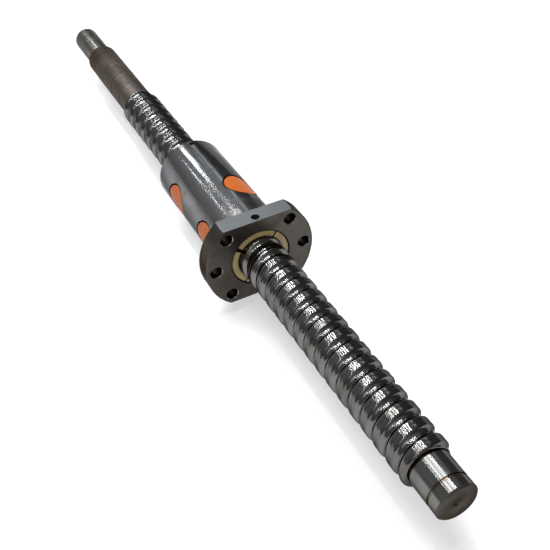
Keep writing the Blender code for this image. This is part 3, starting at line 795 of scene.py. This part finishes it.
def near_journal():
    """The 20 mm journal with its undercut, circlip groove and centre drilling."""
    sunk = 3 * MM
    floor = JOURNAL_RADIUS - CIRCLIP_DEPTH
    undercut = JOURNAL_RADIUS - UNDERCUT_DEPTH
    left = CIRCLIP_GROOVE - CIRCLIP_WIDTH / 2
    right = CIRCLIP_GROOVE + CIRCLIP_WIDTH / 2
    lip = 0.12 * MM
    return turned([
        (THREAD_END - sunk, 0),
        (THREAD_END - sunk, THREAD_ROOT),
        (THREAD_END - 0.3 * MM, THREAD_ROOT),
        (THREAD_END - 0.3 * MM, undercut),
        (THREAD_END + UNDERCUT_WIDTH, undercut),
        (THREAD_END + UNDERCUT_WIDTH + lip, JOURNAL_RADIUS - lip),
        (THREAD_END + UNDERCUT_WIDTH + 2 * lip, JOURNAL_RADIUS),
        (left - lip, JOURNAL_RADIUS),
        (left, JOURNAL_RADIUS - lip),
        (left, floor),
        (right, floor),
        (right, JOURNAL_RADIUS - lip),
        (right + lip, JOURNAL_RADIUS),
        (NEAR_END - 1.3 * CHAMFER, JOURNAL_RADIUS),
        (NEAR_END - CHAMFER, JOURNAL_RADIUS - 0.12 * MM),
        (NEAR_END - 0.15 * MM, JOURNAL_RADIUS - CHAMFER),
        (NEAR_END, JOURNAL_RADIUS - 1.3 * CHAMFER),
        (NEAR_END, CENTRE_DRILL_RADIUS),
        (NEAR_END - 0.3 * MM, CENTRE_DRILL_RADIUS - 0.45 * MM),
        (NEAR_END - 2.4 * MM, CENTRE_PILOT_RADIUS),
        (NEAR_END - 5.0 * MM, CENTRE_PILOT_RADIUS),
        (NEAR_END - 5.2 * MM, 0),
    ])


def build_screw():
    add_piece(
        "screw_thread", screw_thread(), [rolled_steel()], "screw", ["screw_shaft"], 50.0
    )
    near_rust = [
        (THREAD_END + 0.4 * MM, 0.9 * MM, 0.7),
        (CIRCLIP_GROOVE - 0.5 * CIRCLIP_WIDTH, 0.6 * MM, 0.6),
        (CIRCLIP_GROOVE, 0.7 * MM, 0.8),
    ]
    far_rust = [(FAR_SHOULDER, 4 * MM, 0.8)]
    end_face = end_face_steel()
    near = journal_steel(
        "near_journal_steel", (0.192, 0.19, 0.185), (0.13, 0.128, 0.122), near_rust, 0.10, 0.003 * MM
    )
    far = journal_steel(
        "far_journal_steel", (0.26, 0.254, 0.242), (0.186, 0.18, 0.169), far_rust, 0.27, 0.004 * MM
    )

    def near_finish(normal, centre):
        return int(centre.x > NEAR_END - 1.2 * CHAMFER or centre.yz.length < THREAD_ROOT / 2)

    def far_finish(normal, centre):
        if normal.x < -0.9 and centre.x < FAR_END + CHAMFER:
            return 1
        return 2 if centre.x > FAR_SHOULDER - 0.1 * MM else 0

    add_piece("near_journal", near_journal(), [near, end_face], "screw", pick=near_finish)
    add_piece(
        "far_journals", far_journals(), [far, end_face, middle_journal_steel()], "screw",
        pick=far_finish
    )


# Nut

def insert_place(index):
    return FIRST_INSERT + INSERT_STEP * LEAD * index, math.pi + math.tau * INSERT_STEP * index


def flange_blank():
    """The nut's turned outside, with the flange's two flats cut and their edges broken."""
    edge = 0.5 * MM
    bm = turned([
        (NUT_REAR, 0),
        (NUT_REAR, NUT_RADIUS - 1.0 * MM),
        (NUT_REAR + 0.15 * MM, NUT_RADIUS - 0.75 * MM),
        (NUT_REAR + 0.8 * MM, NUT_RADIUS - 0.1 * MM),
        (NUT_REAR + 1.1 * MM, NUT_RADIUS),
        (FLANGE_BACK - 1.2 * MM, NUT_RADIUS),
        (FLANGE_BACK - 1.2 * MM, NUT_RADIUS - 0.3 * MM),
        (FLANGE_BACK, NUT_RADIUS - 0.3 * MM),
        (FLANGE_BACK, FLANGE_RADIUS - edge),
        (FLANGE_BACK + edge, FLANGE_RADIUS),
        (NUT_FRONT - edge, FLANGE_RADIUS),
        (NUT_FRONT, FLANGE_RADIUS - edge),
        (NUT_FRONT, 0),
    ], 160)
    for side in (-1, 1):
        cut = sliced(bm, (0, 0, side * FLAT_HEIGHT), (0, 0, side), clear=True)
        rim = [item for item in cut["geom_cut"] if isinstance(item, bmesh.types.BMEdge)]
        bmesh.ops.contextual_create(bm, geom=rim)
        bmesh.ops.bevel(
            bm, geom=rim, offset=0.25 * MM, offset_type="OFFSET", affect="EDGES", segments=1, profile=0.5,
            material=-1, clamp_overlap=True
        )
    return bm


def port_tool():
    """The M5 port: a tapped hole in the flat."""
    ridge = [
        (0.0, PORT_RADIUS),
        (0.10 * PORT_PITCH, PORT_RADIUS),
        (0.45 * PORT_PITCH, PORT_THREAD_RADIUS),
        (0.55 * PORT_PITCH, PORT_THREAD_RADIUS),
        (0.90 * PORT_PITCH, PORT_RADIUS),
        (PORT_PITCH, PORT_RADIUS),
    ]
    bm = helical(ridge, PORT_PITCH, 0.0, -1.0 * MM, PORT_DEPTH, 24)
    return stood_at(bm, Vector((PORT_X, 0, FLAT_HEIGHT)), Vector((0, 0, -1)))


def bolt_hole_tool(angle):
    """A bolt hole right through the flange, with both its edges broken."""
    bevel = 0.3 * MM
    past = 0.5 * MM
    hole = turned([
        (FLANGE_BACK - past, 0),
        (FLANGE_BACK - past, BOLT_RADIUS + bevel + past),
        (FLANGE_BACK + bevel, BOLT_RADIUS),
        (NUT_FRONT - bevel, BOLT_RADIUS),
        (NUT_FRONT + past, BOLT_RADIUS + bevel + past),
        (NUT_FRONT + past, 0),
    ], 48)
    return moved(hole, Matrix.Translation(on_axis_ring(0, BOLT_CIRCLE, angle)))


def nut_tools():
    """What is cut out of the nut: bolt holes, port, insert seats, raceway, passages and wiper pockets."""
    insert_holes = []
    for i in range(CIRCUITS):
        x, angle = insert_place(i)
        seat = rod(NUT_RADIUS, INSERT_HOLE_RADIUS, 72)
        insert_holes.append(standing_out(seat, x, BORE_RADIUS / 2, angle))
    set_screw_hole = standing_out(
        rod(8 * MM, SET_SCREW_RADIUS + 0.25 * MM, 32), SET_SCREW_X, POCKET_RADIUS - 2 * MM, SET_SCREW_ANGLE
    )
    passage_start = Vector((PORT_X, 0, FLAT_HEIGHT - PORT_DEPTH + 0.8 * MM))
    inward = Vector((-math.sin(PASSAGE_SLOPE), 0, -math.cos(PASSAGE_SLOPE)))
    passage = stood_at(rod(18 * MM, PASSAGE_RADIUS, 24), passage_start, inward)
    past = 2 * MM
    raceway = thread_profile(BORE_RADIUS, GROOVE_RADIUS, side=1, arc_steps=8)
    bore = helical(raceway, LEAD, CREST_X, NUT_REAR - past, NUT_FRONT + past, 40)
    pockets = [
        moved(rod(POCKET_DEPTH + past, POCKET_RADIUS, 128), Matrix.Translation((x, 0, 0)))
        for x in (NUT_REAR - past, NUT_FRONT - POCKET_DEPTH)
    ]
    bolt_holes = [bolt_hole_tool(angle) for angle in BOLT_ANGLES]
    return [
        merged(bolt_holes), port_tool(), merged(insert_holes), bore,
        set_screw_hole, passage, merged(pockets)
    ]


def nut_finish(normal, centre):
    """0 ground barrel, 1 turned faces, 2 milled flats, 3 the walls of holes, near-black as painted shade.
    """
    out = centre.yz.length
    on_flange = centre.x > FLANGE_BACK
    if abs(normal.z) > 0.99 and abs(centre.z) > FLAT_HEIGHT - 0.1 * MM:
        return 2
    if abs(normal.x) > 0.9 and out > POCKET_RADIUS - 1 * MM:
        return 1
    to_hole = min((centre.yz - on_axis_ring(0, BOLT_CIRCLE, a).yz).length for a in BOLT_ANGLES)
    if on_flange and to_hole < BOLT_RADIUS + 0.1 * MM:
        return 3
    to_port = math.hypot(centre.x - PORT_X, centre.y)
    if on_flange and to_port < PORT_THREAD_RADIUS and centre.z > POCKET_RADIUS:
        return 3
    if NUT_REAR + 1.2 * MM < centre.x < FLANGE_BACK - 1.5 * MM and out < NUT_RADIUS - 0.1 * MM:
        return 3
    return 1 if on_flange and out > FLANGE_RADIUS - 1 * MM else 0


def build_nut():
    add_piece(
        "nut_body_ground", carved(flange_blank(), nut_tools()),
        [ground_steel(), turned_face(), milled_flat(), MATERIALS["hole"]],
        "nut", ["nut_body"], 30.0, nut_finish
    )
    length = SET_SCREW_TOP - SET_SCREW_TIP
    edge = 0.2 * MM
    screw = turned([
        (0, 0),
        (0, 0.7 * MM),
        (0.6 * MM, SET_SCREW_RADIUS),
        (length - edge, SET_SCREW_RADIUS),
        (length, SET_SCREW_RADIUS - edge),
        (length, 0),
    ], 32)
    screw = standing_out(screw, SET_SCREW_X, SET_SCREW_TIP, SET_SCREW_ANGLE)
    socket = standing_out(
        rod(3 * MM, SOCKET_RADIUS, 6), SET_SCREW_X, SET_SCREW_TOP - SOCKET_DEPTH, SET_SCREW_ANGLE
    )
    black = plain_finish("black_oxide", (0.07, 0.067, 0.063), (0.028, 0.025, 0.022), 0.45)
    add_piece(
        "wiper_set_screw", carved(screw, [socket]), [black], "nut", ["rear_wiper_set_screw"]
    )


# Ball circuits and their inserts

def lift_over_land(offset):
    half_groove = math.sqrt(GROOVE_RADIUS**2 - (BALL_CIRCLE - SCREW_RADIUS) ** 2)
    if offset >= half_groove:
        return SCREW_RADIUS + GROOVE_RADIUS
    over_edge = math.sqrt(max(GROOVE_RADIUS**2 - (half_groove - offset) ** 2, 0.0))
    return max(BALL_CIRCLE, SCREW_RADIUS + over_edge)


def circuit_point(index, turned_by):
    """A ball's centre, by its turn from its insert's middle: round the thread, then over one land."""
    middle_x, middle_angle = insert_place(index)
    rise = LEAD / math.tau
    if CROSSOVER <= turned_by <= math.tau - CROSSOVER:
        return on_axis_ring(middle_x - LEAD / 2 + rise * turned_by, BALL_CIRCLE, middle_angle + turned_by)
    b = turned_by if turned_by < CROSSOVER else turned_by - math.tau
    t = (b + CROSSOVER) / (2 * CROSSOVER)
    x = middle_x + (LEAD / 2 - rise * CROSSOVER) * (1 - 2 * t * t * (3 - 2 * t))
    groove_x = middle_x + rise * b + math.copysign(LEAD / 2, x - middle_x)
    return on_axis_ring(x, lift_over_land(abs(x - groove_x) * math.cos(LEAD_ANGLE)), middle_angle + b)


def ball_centres(index):
    samples = 900
    path = [circuit_point(index, (math.pi + math.tau * i / samples) % math.tau) for i in range(samples + 1)]
    centres, travelled = [], 0.0
    for a, b in zip(path, path[1:]):
        if travelled >= len(centres) * BALL_PITCH and len(centres) < BALL_ROW:
            centres.append(a)
        travelled += (b - a).length
    return centres


def ball_row(index):
    ball = bmesh.new()
    bmesh.ops.create_uvsphere(ball, u_segments=24, v_segments=14, radius=BALL_RADIUS - 0.01 * MM)
    return repeated(ball, [Matrix.Translation(centre) for centre in ball_centres(index)])


def tube_along(points, radius, resolution, closed=False):
    """A round bar along points, as a bmesh."""
    curve = bpy.data.curves.new("path", "CURVE")
    curve.dimensions = "3D"
    curve.bevel_depth = radius
    curve.bevel_resolution = resolution
    curve.use_fill_caps = not closed
    spline = curve.splines.new("POLY")
    spline.points.add(len(points) - 1)
    spline.use_cyclic_u = closed
    for point, place in zip(spline.points, points):
        point.co = (*place, 1.0)
    source = bpy.data.objects.new("path", curve)
    bpy.context.scene.collection.objects.link(source)
    mesh = bpy.data.meshes.new_from_object(source)
    bm = bmesh.new()
    bm.from_mesh(mesh)
    bpy.data.meshes.remove(mesh)
    bpy.data.objects.remove(source, do_unlink=True)
    bpy.data.curves.remove(curve)
    bmesh.ops.remove_doubles(bm, verts=bm.verts, dist=WELD)
    return bm


def crossover_channel(index):
    """The way of the balls under an insert, from one turn of the thread to the turn before."""
    middle_x, middle_angle = insert_place(index)
    reach = math.radians(62)
    half_steps = 20
    points = []
    for i in range(2 * half_steps + 1):
        b = reach * (i / half_steps - 1)
        if abs(b) < CROSSOVER:
            points.append(circuit_point(index, b % math.tau))
        else:
            x = middle_x + LEAD / math.tau * b - math.copysign(LEAD / 2, b)
            points.append(on_axis_ring(x, BALL_CIRCLE, middle_angle + b))
    return tube_along(points, GROOVE_RADIUS * 1.02, 5)


def insert_plug(index):
    """A round plug whose outer face follows the nut's barrel, with the balls' channel through it."""
    x, angle = insert_place(index)
    plug = standing_out(rod(NUT_RADIUS, INSERT_RADIUS, 72), x, BORE_RADIUS / 2, angle)
    length = 100 * MM
    through = Matrix.Translation((NUT_REAR - 3 * MM, 0, 0))
    barrel = moved(rod(length, INSERT_TOP, 160), through)
    bore = moved(rod(length, BORE_RADIUS + 0.1 * MM, 96), through)
    shaped = carved(plug, [barrel], "INTERSECT")
    return carved(shaped, [bore, crossover_channel(index)])


def insert_finish(normal, centre):
    """0 the outer face, 1 near-black painted shade on the sunk sides."""
    return int(centre.yz.length < INSERT_TOP - 0.2 * MM)


def build_circuits():
    finishes = [orange_plastic(), MATERIALS["shade_in_gaps"]]
    steel = plain_finish("ball_steel", (0.78, 0.78, 0.78), (0.68, 0.68, 0.68), 0.06)
    for i in range(CIRCUITS):
        add_piece(
            f"return_insert_plug_{i + 1}", insert_plug(i), finishes,
            "nut", [f"return_insert_{i + 1}"], 30.0, insert_finish
        )
        add_piece(
            f"balls_{i + 1}", ball_row(i), [steel], "nut", [f"ball_circuit_{i + 1}"], 80.0
        )


# Wipers

def wiper_segment(face_x, inward, index, lip_tool):
    """A quarter of the wiper ring, with softened rims and its spring groove."""
    outer, inner, soft = WIPER_RADIUS, 10.2 * MM, 0.2 * MM
    near, far = WIPER_END_GAP, POCKET_DEPTH - WIPER_END_GAP
    low, high = SPRING_DEPTH - 0.85 * MM, SPRING_DEPTH + 0.85 * MM
    floor = outer - 1.6 * MM
    depths = [
        (near, inner), (near, outer - soft), (near + soft, outer), (low, outer), (low, floor),
        (high, floor), (high, outer), (far - soft, outer), (far, outer - soft), (far, inner)
    ]
    before = SLIT_WIDTHS[index] / 2 / POCKET_RADIUS
    after = SLIT_WIDTHS[(index + 1) % WIPER_QUARTERS] / 2 / POCKET_RADIUS
    quarter = math.tau / WIPER_QUARTERS
    start = SLIT_ANGLE + quarter * index + before
    bm = bmesh.new()
    verts = [bm.verts.new(on_axis_ring(face_x + inward * depth, radius, start)) for depth, radius in depths]
    face = bm.faces.new(verts)
    spin_x(bm, [face] + face.edges[:] + verts, quarter - before - after, 32)
    return carved(bm, [lip_tool])


def wiper_finish(normal, centre):
    """0 the flat faces, 1 near-black painted shade on the sides and the lip."""
    return int(abs(normal.x) < 0.6)


def spring_path(face_x, inward):
    """The middle of a garter spring's wire, coil after coil round the axis."""
    points = []
    for i in range(SPRING_COILS * STEPS_PER_COIL):
        coil = math.tau * i / STEPS_PER_COIL
        radius = SPRING_RADIUS + SPRING_COIL_RADIUS * math.cos(coil)
        x = face_x + inward * SPRING_DEPTH + SPRING_COIL_RADIUS * math.sin(coil)
        points.append(on_axis_ring(x, radius, coil / SPRING_COILS))
    return points


def build_wiper(end_name, face_x, inward):
    lip = thread_profile(SCREW_RADIUS + LIP_CLEARANCE, GROOVE_RADIUS - LIP_CLEARANCE, arc_steps=8)
    lip_tool = helical(lip, LEAD, CREST_X, face_x - 2 * POCKET_DEPTH, face_x + 2 * POCKET_DEPTH, 64)
    for i in range(WIPER_QUARTERS):
        add_piece(
            f"{end_name}_wiper_quarter_{i + 1}", wiper_segment(face_x, inward, i, lip_tool.copy()),
            [MATERIALS["tan"], MATERIALS["shade_in_gaps"]],
            "nut", [f"{end_name}_wiper_segment_{i + 1}"], 40.0, wiper_finish
        )
    lip_tool.free()
    spring = tube_along(spring_path(face_x, inward), SPRING_WIRE_RADIUS, 1, closed=True)
    add_piece(
        f"{end_name}_garter_spring", spring, [MATERIALS["spring"]],
        "wiper_springs", [f"{end_name}_wiper_spring"], 60.0
    )


# Studio

FLOOR_HALF_SIZE = 6.0
FLOOR_GLOW = 0.48
AIMED_ABOVE = 1.2

# Each lamp's name, place, size, radiance and colour
LAMPS = (
    ("journal_panel_left", (-0.29, -0.235, 1.0), (0.26, 0.26), 5.0, (0.98, 0.99, 1.0)),
    ("journal_panel_right", (-0.29, 0.075, 1.0), (0.26, 0.24), 4.8, (0.96, 0.98, 1.0)),
    ("near_tube_a", (-0.35, 0.200, 1.0), (1.26, 0.024), 42.0, (0.92, 0.965, 1.0)),
    ("near_tube_b", (-0.35, 0.030, 1.0), (1.26, 0.026), 50.0, (0.95, 0.975, 1.0)),
    ("near_tube_c", (-0.35, -0.140, 1.0), (1.26, 0.026), 50.0, (0.95, 0.975, 1.0)),
    ("near_tube_d", (-0.35, -0.300, 1.0), (1.26, 0.020), 34.0, (0.95, 0.975, 1.0)),
    ("barrel_tube_a", (-1.17, 0.060, 1.0), (0.38, 0.007), 17.0, (0.97, 0.985, 1.0)),
    ("barrel_tube_b", (-1.17, -0.060, 1.0), (0.38, 0.007), 17.0, (0.97, 0.985, 1.0)),
    ("far_tube_a", (-2.15, 0.050, 1.0), (1.0, 0.018), 30.0, (0.97, 0.985, 1.0)),
    ("far_tube_b", (-2.15, -0.050, 1.0), (1.0, 0.018), 30.0, (0.97, 0.985, 1.0)),
    ("far_panel", (-2.50, 0.07, 1.0), (0.80, 0.30), 6.0, (1.0, 0.995, 0.985)),
    ("left_tube", (-0.85, -0.50, 1.0), (3.7, 0.014), 26.0, (0.94, 0.97, 1.0)),
    ("right_panel", (-1.50, 0.66, 1.0), (2.2, 0.14), 1.4, (0.82, 0.92, 1.0)),
    ("soft_front", (1.2, -0.9, 1.6), (1.4, 1.4), 0.8, (1.0, 1.0, 1.0)),
)


def add_lamp(name, place, size, radiance, colour):
    """A rectangular lamp over the object. It lies level, unless it hangs above the rest, which aims it."""
    data = bpy.data.lights.new(name, "AREA")
    data.shape = "RECTANGLE"
    data.size, data.size_y = size
    data.energy = radiance * math.pi * size[0] * size[1]
    data.color = colour
    lamp = bpy.data.objects.new(name, data)
    bpy.context.scene.collection.objects.link(lamp)
    lamp.location = place
    if place[2] > AIMED_ABOVE:
        lamp.rotation_euler = (-Vector(place)).to_track_quat("-Z", "X").to_euler()


def seen_or_mirrored(tree):
    """1 for what the camera sees, at once or in the metal, and 0 for other light."""
    path = tree.nodes.new("ShaderNodeLightPath")
    return calc(tree, "MAXIMUM", path.outputs["Is Camera Ray"], path.outputs["Is Glossy Ray"])


def build_floor():
    """A pale floor below the flange's reach, which gives the white background and keeps the shadow."""
    bm = bmesh.new()
    bmesh.ops.create_grid(bm, x_segments=1, y_segments=1, size=FLOOR_HALF_SIZE)
    mesh = bpy.data.meshes.new("floor")
    bm.to_mesh(mesh)
    bm.free()
    floor = bpy.data.objects.new("floor", mesh)
    floor.location.z = CAD_BOX[0].y - 0.5 * MM
    bpy.context.scene.collection.objects.link(floor)
    material = bpy.data.materials.new("floor")
    material.use_nodes = True
    tree = material.node_tree
    shader = tree.nodes["Principled BSDF"]
    shader.inputs["Base Color"].default_value = (0.55, 0.55, 0.55, 1.0)
    shader.inputs["Roughness"].default_value = 0.9
    shader.inputs["Specular IOR Level"].default_value = 0.0
    shader.inputs["Emission Color"].default_value = (1.0, 1.0, 1.0, 1.0)
    tree.links.new(times(tree, seen_or_mirrored(tree), FLOOR_GLOW), shader.inputs["Emission Strength"])
    mesh.materials.append(material)


def build_world():
    """A soft sky: brightest towards the far end, dimmer overhead and to the left, dark to the right."""
    world = bpy.data.worlds.new("studio")
    world.use_nodes = True
    tree = world.node_tree
    background = tree.nodes["Background"]
    x, y, z = split_axes(tree, tree.nodes.new("ShaderNodeTexCoord").outputs["Generated"])
    sideways = calc(tree, "ARCTAN2", y, z)
    left = between(tree, sideways, math.radians(-80), math.radians(-20), 0.45, 1.0)
    right = between(tree, sideways, math.radians(20), math.radians(52), 1.0, 0.10)
    backwards = calc(tree, "ARCTAN2", times(tree, x, -1.0), z)
    behind = between(tree, backwards, math.radians(30), math.radians(47), 0.5, 1.0)
    glow = times(tree, times(tree, left, right), behind)
    sky = mix(tree, glow, (0.105, 0.097, 0.088), (0.62, 0.63, 0.65))
    horizon = between(tree, z, 0.04, 0.08, 1.0, 0.0)
    white = times(tree, seen_or_mirrored(tree), horizon)
    tree.links.new(mix(tree, white, sky, (1.0, 1.0, 1.0)), background.inputs["Color"])
    background.inputs["Strength"].default_value = 1.0
    bpy.context.scene.world = world


def build_camera():
    data = bpy.data.cameras.new("camera")
    data.lens = CAMERA_LENS
    data.sensor_width = CAMERA_SENSOR
    camera = bpy.data.objects.new("camera", data)
    bpy.context.scene.collection.objects.link(camera)
    look = (CAMERA_AIM - CAMERA_PLACE).to_track_quat("-Z", "Y").to_matrix().to_4x4()
    camera.matrix_world = Matrix.Translation(CAMERA_PLACE) @ look @ Matrix.Rotation(CAMERA_ROLL, 4, "Z")
    bpy.context.scene.camera = camera


make_groups()
MATERIALS = {
    "tan": tan_plastic(),
    # Painted shade: near-black walls for the bolt holes, the port and the insert seats.
    "hole": plain_finish("hole_wall_painted_shade", (0.027, 0.024, 0.022), (0.011, 0.01, 0.009), 0.4),
    # Painted shade: a near-black non-metal on the sunk sides of the inserts and on the sides and lips of
    # the wipers.
    "shade_in_gaps": plain_finish("painted_gap_shade", (0.016, 0.012, 0.010), (0.008, 0.006, 0.005), 0.6, 0.0),
    "spring": plain_finish("spring_steel", (0.6, 0.6, 0.6), (0.46, 0.46, 0.45), 0.3),
}
build_camera()
build_floor()
build_world()
for lamp in LAMPS:
    add_lamp(*lamp)
build_screw()
build_nut()
build_circuits()
build_wiper("front", NUT_FRONT, -1)
build_wiper("rear", NUT_REAR, 1)
bpy.context.scene.view_settings.view_transform = "Standard"
